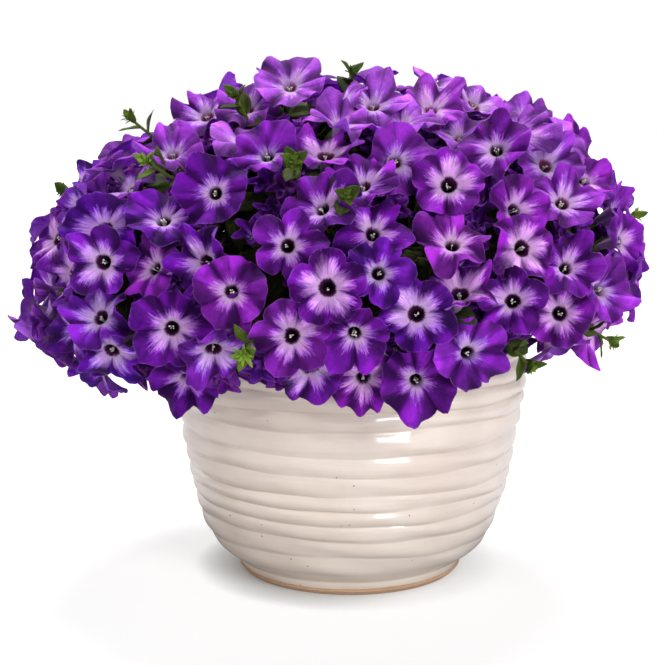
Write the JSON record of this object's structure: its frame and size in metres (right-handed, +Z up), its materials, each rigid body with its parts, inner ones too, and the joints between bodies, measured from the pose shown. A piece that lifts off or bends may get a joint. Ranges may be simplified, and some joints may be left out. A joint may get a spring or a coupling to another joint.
{
  "type": "potted petunia",
  "caption": "Free-standing ribbed stoneware pot filled with potting mix, holding a full dome of purple trumpet-shaped petunia blooms with leafy shoots.",
  "frame": {"origin": "centre of the pot's foot, on the surface that it stands on", "axes": "+Z up, -Y towards the side seen first, +X to the right of that view"},
  "size_m": [0.5107, 0.4893, 0.4054],
  "materials": {
    "glaze": "gloss",
    "potting_mix": "matte",
    "petal": "satin",
    "leaf": "satin"
  },
  "bodies": {
    "root": {"pot": "glaze", "potting_mix": "potting_mix", "bloom_spray_01": "petal", "bloom_spray_02": "petal", "bloom_spray_03": "petal", "bloom_spray_04": "petal", "bloom_spray_05": "petal", "bloom_spray_06": "petal", "bloom_spray_07": "petal", "bloom_spray_08": "petal", "bloom_spray_09": "petal", "bloom_spray_10": "petal", "bloom_spray_11": "petal", "bloom_spray_12": "petal", "bloom_spray_13": "petal", "bloom_spray_14": "petal", "bloom_spray_15": "petal", "bloom_spray_16": "petal", "bloom_spray_17": "petal", "bloom_spray_18": "petal", "bloom_spray_19": "petal", "bloom_spray_20": "petal", "bloom_spray_21": "petal", "bloom_spray_22": "petal", "bloom_spray_23": "petal", "bloom_spray_24": "petal", "bloom_spray_25": "petal", "bloom_spray_26": "petal", "bloom_spray_27": "petal", "bloom_spray_28": "petal", "bloom_spray_29": "petal", "bloom_spray_30": "petal", "bloom_spray_31": "petal", "bloom_spray_32": "petal", "bloom_spray_33": "petal", "bloom_spray_34": "petal", "bloom_spray_35": "petal", "bloom_spray_36": "petal", "bloom_spray_37": "petal", "bloom_spray_38": "petal", "bloom_spray_39": "petal", "bloom_spray_40": "petal", "bloom_spray_41": "petal", "bloom_spray_42": "petal", "leafy_shoot_01": "leaf", "leafy_shoot_02": "leaf", "leafy_shoot_03": "leaf", "leafy_shoot_04": "leaf", "leafy_shoot_05": "leaf", "leafy_shoot_06": "leaf", "leafy_shoot_07": "leaf", "leafy_shoot_08": "leaf", "leafy_shoot_09": "leaf", "leafy_shoot_10": "leaf", "leafy_shoot_11": "leaf", "leafy_shoot_12": "leaf", "leafy_shoot_13": "leaf", "leafy_shoot_14": "leaf", "leafy_shoot_15": "leaf", "leafy_shoot_16": "leaf"}
  },
  "joints": []
}
